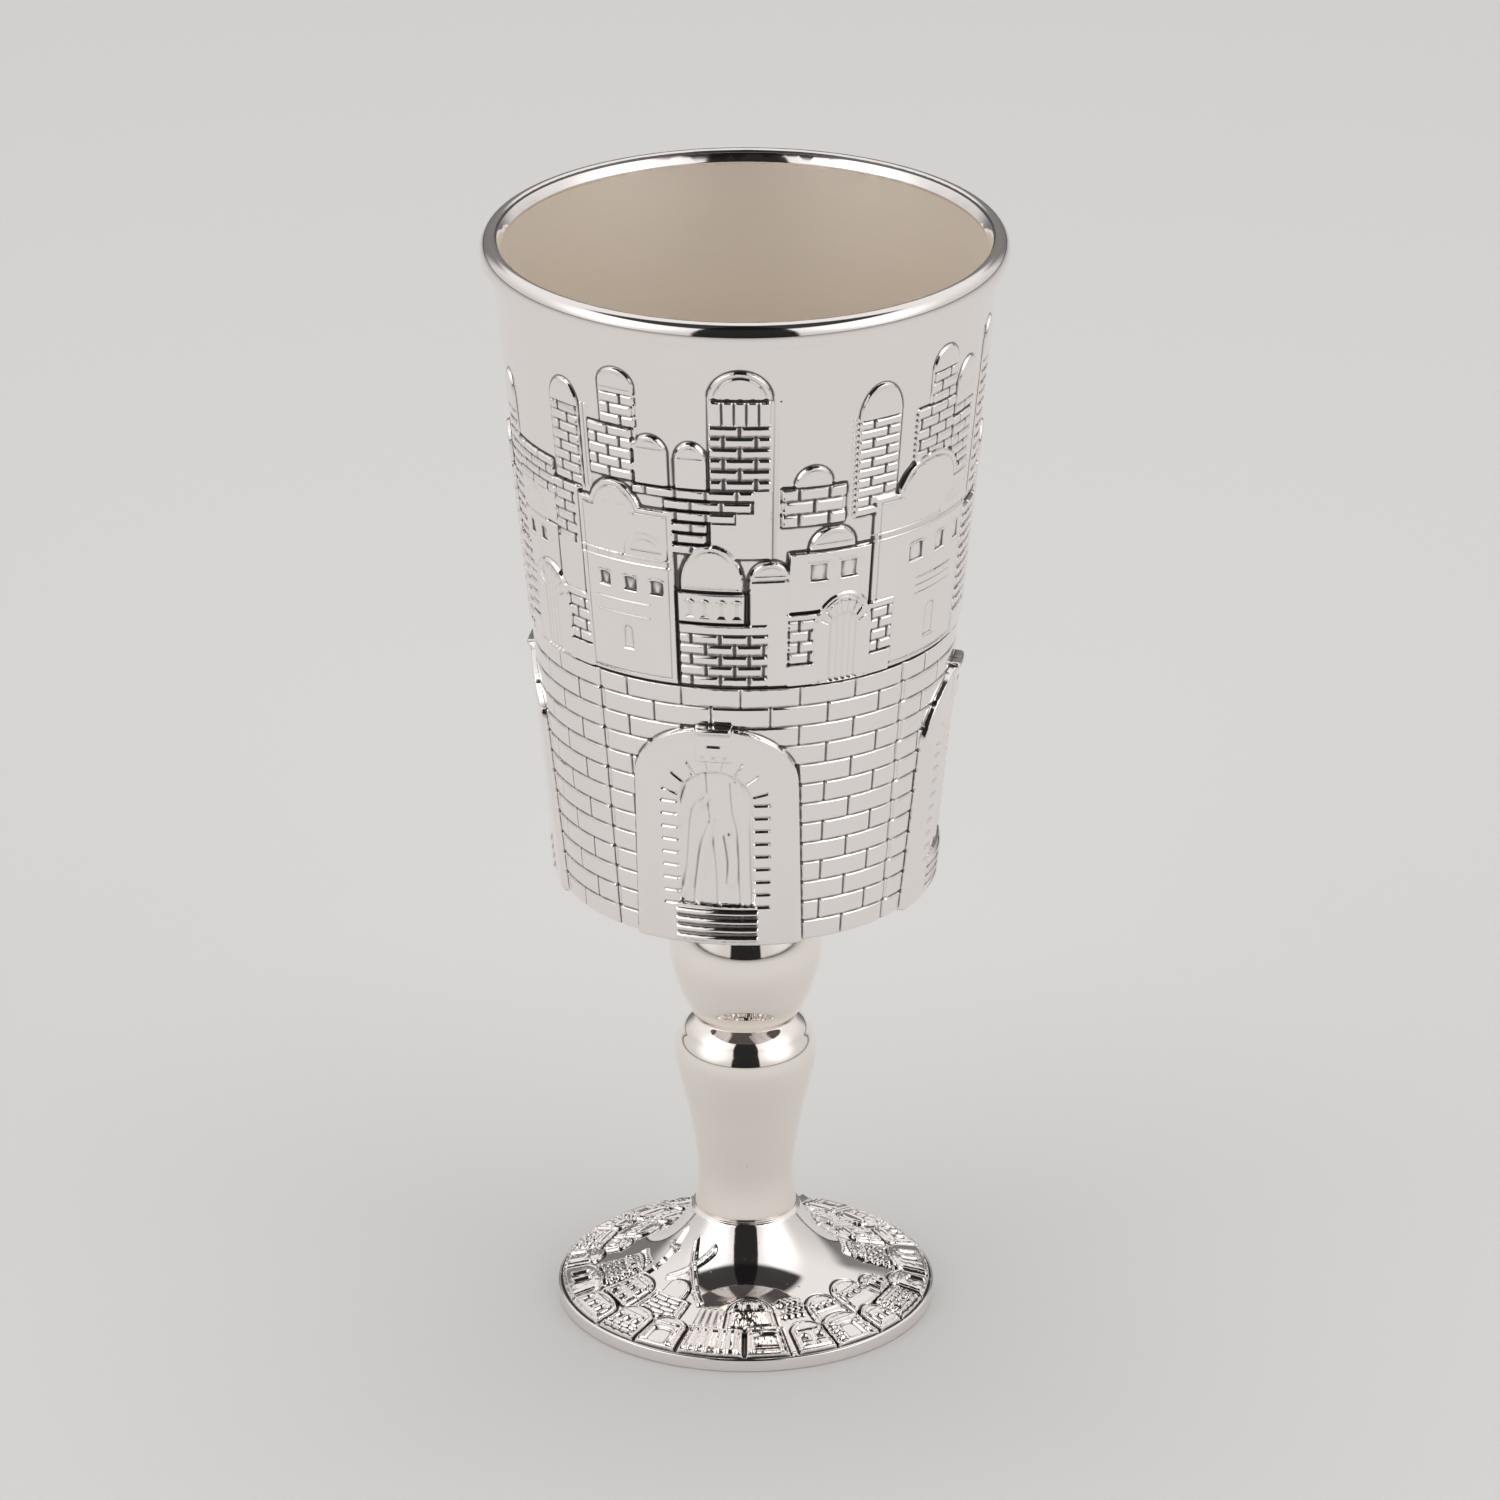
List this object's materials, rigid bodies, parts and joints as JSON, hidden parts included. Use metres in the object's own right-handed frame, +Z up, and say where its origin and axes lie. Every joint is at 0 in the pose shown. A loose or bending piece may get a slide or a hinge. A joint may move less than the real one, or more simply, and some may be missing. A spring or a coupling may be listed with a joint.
{
  "type": "kiddush cup",
  "caption": "Footed metal goblet with a tapering cup, rolled rim, relief of a walled city, turned stem and flared round foot, for ceremonial wine.",
  "frame": {"origin": "on the table at the middle of the foot's standing ring", "axes": "+Z up along the stem's axis, -Y towards the viewer of the front gate"},
  "size_m": [0.0658, 0.0658, 0.145],
  "materials": {
    "polished_silver": "polished silver plate outside, satin brushed inside",
    "stem_silver": "mirror polished silver plate",
    "foot_silver": "mirror polished silver plate over cast relief"
  },
  "bodies": {
    "root": {"cup": "polished_silver", "stem": "stem_silver", "foot": "foot_silver"}
  },
  "joints": []
}
